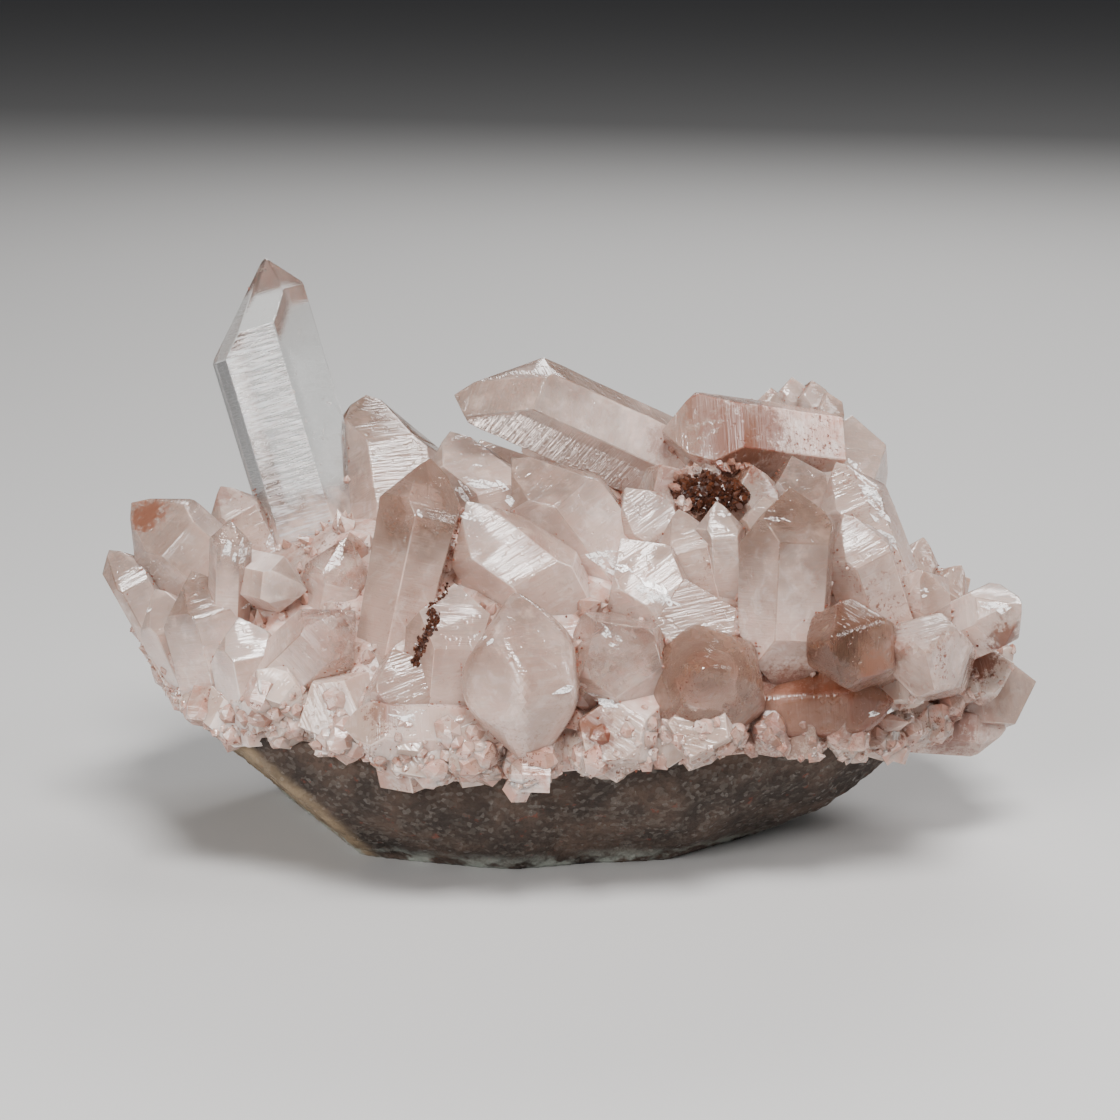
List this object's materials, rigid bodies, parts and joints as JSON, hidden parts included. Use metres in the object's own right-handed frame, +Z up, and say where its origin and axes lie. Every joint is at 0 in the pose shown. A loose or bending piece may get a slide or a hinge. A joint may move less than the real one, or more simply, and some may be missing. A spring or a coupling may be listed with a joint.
{
  "type": "quartz crystal cluster on matrix",
  "caption": "Cluster of clear and milky quartz points grown together on a brown granular rock matrix that rests on its flat underside.",
  "frame": {"origin": "bottom centre of the specimen's box, on the surface it stands on", "axes": "+X along the specimen's length to the right as seen from the front, -Y towards the viewer, +Z up"},
  "size_m": [0.1487, 0.1006, 0.0909],
  "materials": {
    "matrix_rock": "rough granular brown rock with tiny glinting grains",
    "quartz": "milky pinkish-white quartz, clearer and greyer towards the tips, glossy faces",
    "clear_quartz": "water-clear quartz with fine cross striations",
    "iron_druse": "dark red-brown iron-oxide druse"
  },
  "bodies": {
    "root": {"matrix": "matrix_rock", "quartz_cluster": "quartz", "pocket_druse": "iron_druse"}
  },
  "joints": []
}
